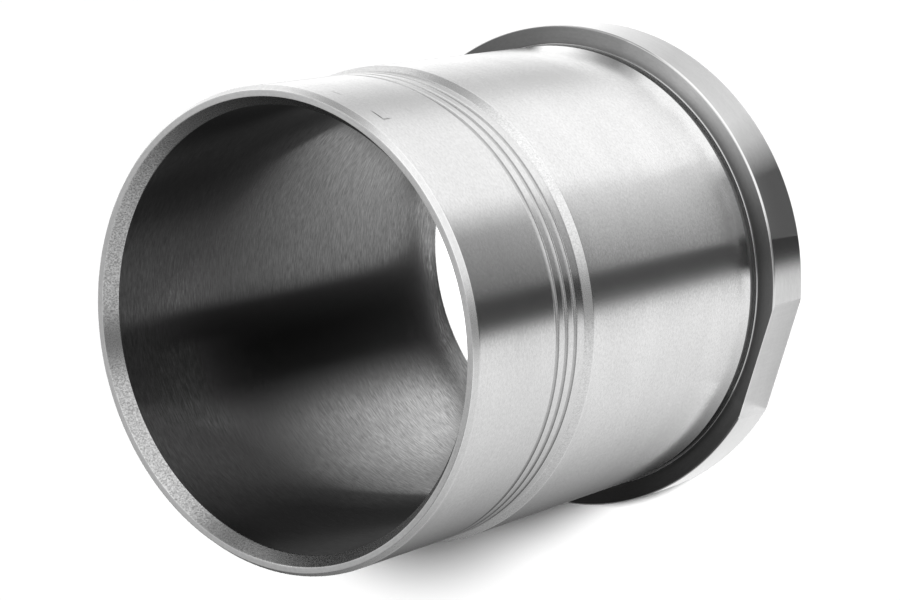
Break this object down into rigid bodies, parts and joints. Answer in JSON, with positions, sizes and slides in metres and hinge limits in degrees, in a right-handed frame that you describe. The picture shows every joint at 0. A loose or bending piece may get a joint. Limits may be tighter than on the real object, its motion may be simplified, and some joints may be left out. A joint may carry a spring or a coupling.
{
  "type": "cylinder liner",
  "caption": "Flanged cylinder liner with a plain through bore, a stepped outside with ring grooves in the skirt, a relief under the flange and a flat on the flange rim.",
  "frame": {"origin": "on the bore axis, in the plane of the flange's deck face, which the liner stands on", "axes": "+Z along the bore axis from the flange to the skirt end, +X square out through the flat on the flange"},
  "size_m": [0.1112, 0.113, 0.1163],
  "materials": {
    "machined_iron": "satin, finely turned outside and bored inside"
  },
  "bodies": {
    "root": {"cylinder_liner": "machined_iron"}
  },
  "joints": []
}
